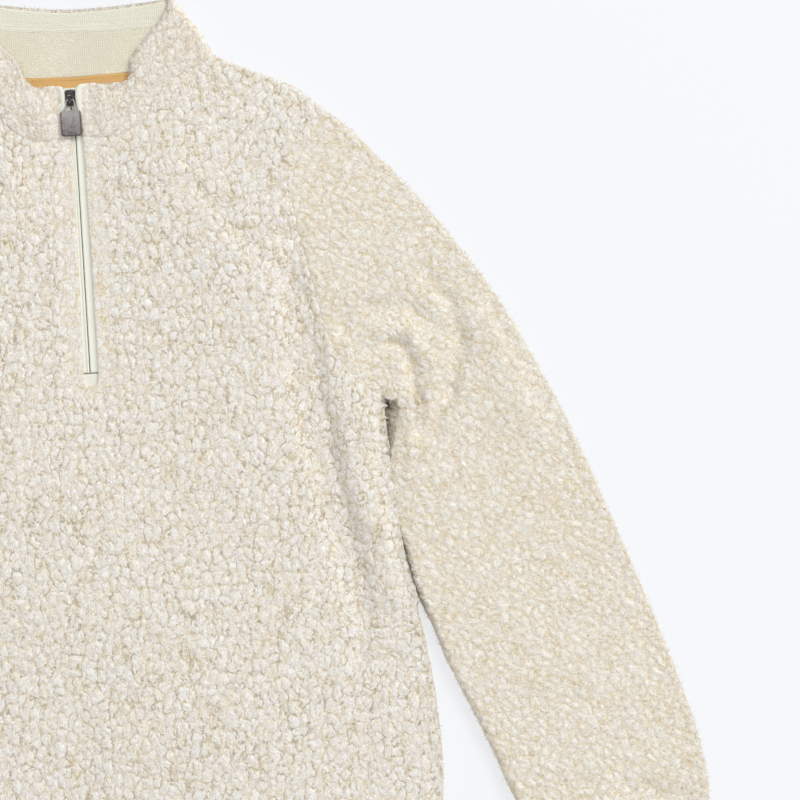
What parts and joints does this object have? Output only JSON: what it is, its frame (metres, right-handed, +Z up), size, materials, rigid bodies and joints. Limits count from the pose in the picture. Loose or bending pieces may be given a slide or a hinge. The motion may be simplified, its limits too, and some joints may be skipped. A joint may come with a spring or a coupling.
{
  "type": "quarter-zip sherpa fleece pullover laid flat",
  "caption": "Sherpa fleece pullover laid flat: front, back, sleeves and lined stand collar with a quarter zip whose pull tab swings.",
  "frame": {"origin": "on the surface the pullover lies on, below the centre of its bounding box", "axes": "+X to the wearer's left, +Y from hem to collar, +Z up from the surface, front side up"},
  "size_m": [0.9722, 0.7276, 0.0145],
  "materials": {
    "fleece": "two-tone cream and tan berber curl pile",
    "lining_knit": "fine cream knit",
    "mustard_tape": "mustard twill tape",
    "zip_tape": "woven cream zip tape",
    "gunmetal": "dark gunmetal plating, rubbed on the edges"
  },
  "bodies": {
    "garment": {"front": "fleece", "back": "fleece", "sleeve_left": "fleece", "sleeve_right": "fleece", "collar": "fleece", "collar_lining": "lining_knit", "neck_tape": "mustard_tape", "zip_tape_left": "zip_tape", "zip_tape_right": "zip_tape", "zip_end_tab": "zip_tape", "zip_slider": "gunmetal"},
    "pull_tab": {"zip_pull": "gunmetal"}
  },
  "joints": [
    {"name": "pull_hinge", "type": "hinge", "parent": "garment", "child": "pull_tab", "pos_m": [-0.0027, 0.28385, 0.0114], "axis": [-1, 0, 0], "range_deg": [0, 150]}
  ]
}
